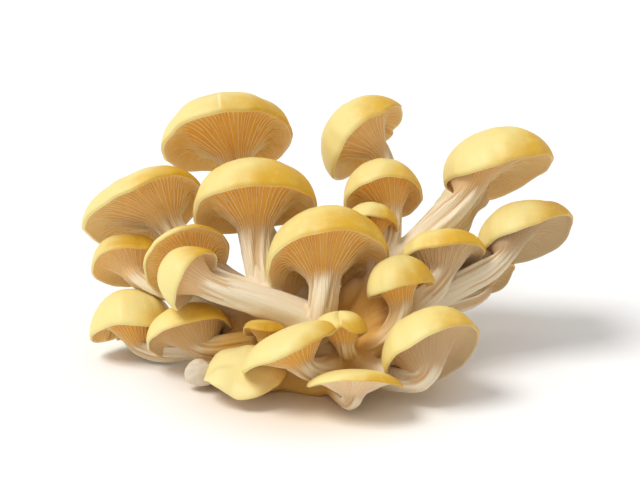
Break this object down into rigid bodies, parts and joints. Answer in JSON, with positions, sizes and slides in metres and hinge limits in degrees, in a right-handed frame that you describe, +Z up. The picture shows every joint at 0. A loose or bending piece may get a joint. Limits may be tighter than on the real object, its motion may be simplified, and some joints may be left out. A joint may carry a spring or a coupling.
{
  "type": "oyster mushroom cluster",
  "caption": "Cluster of fresh golden oyster mushrooms with domed caps, gilled undersides and curved stems that rise from one shared, flat-cut base.",
  "frame": {"origin": "middle of the flat cut face under the base, on the surface that the cluster stands on", "axes": "+X along the cluster's width, +Y towards its back, where the tall caps lean, +Z up"},
  "size_m": [0.1838, 0.1304, 0.0946],
  "materials": {
    "mushroom_flesh": "fresh fungus flesh: satin yellow cap skin, pale cream to amber gills and cream stem",
    "base_flesh": "matt cream flesh, slightly fibrous"
  },
  "bodies": {
    "root": {"cut_base": "base_flesh", "mushroom_top_left": "mushroom_flesh", "mushroom_far_left": "mushroom_flesh", "mushroom_centre_left": "mushroom_flesh", "mushroom_centre": "mushroom_flesh", "mushroom_top_torn": "mushroom_flesh", "mushroom_upper_centre": "mushroom_flesh", "mushroom_small_middle": "mushroom_flesh", "mushroom_upper_right": "mushroom_flesh", "mushroom_back_right": "mushroom_flesh", "mushroom_far_right": "mushroom_flesh", "mushroom_under_right": "mushroom_flesh", "mushroom_right": "mushroom_flesh", "mushroom_small_right": "mushroom_flesh", "mushroom_tiny_right": "mushroom_flesh", "mushroom_lower_right": "mushroom_flesh", "mushroom_front_small": "mushroom_flesh", "mushroom_front_long": "mushroom_flesh", "mushroom_front_folded": "mushroom_flesh", "mushroom_front_flat": "mushroom_flesh", "mushroom_floor_button": "mushroom_flesh", "mushroom_low_left": "mushroom_flesh", "mushroom_low_left_front": "mushroom_flesh", "mushroom_left_open": "mushroom_flesh", "mushroom_left_curled": "mushroom_flesh", "mushroom_left_mid": "mushroom_flesh", "mushroom_inner_small": "mushroom_flesh"}
  },
  "joints": []
}
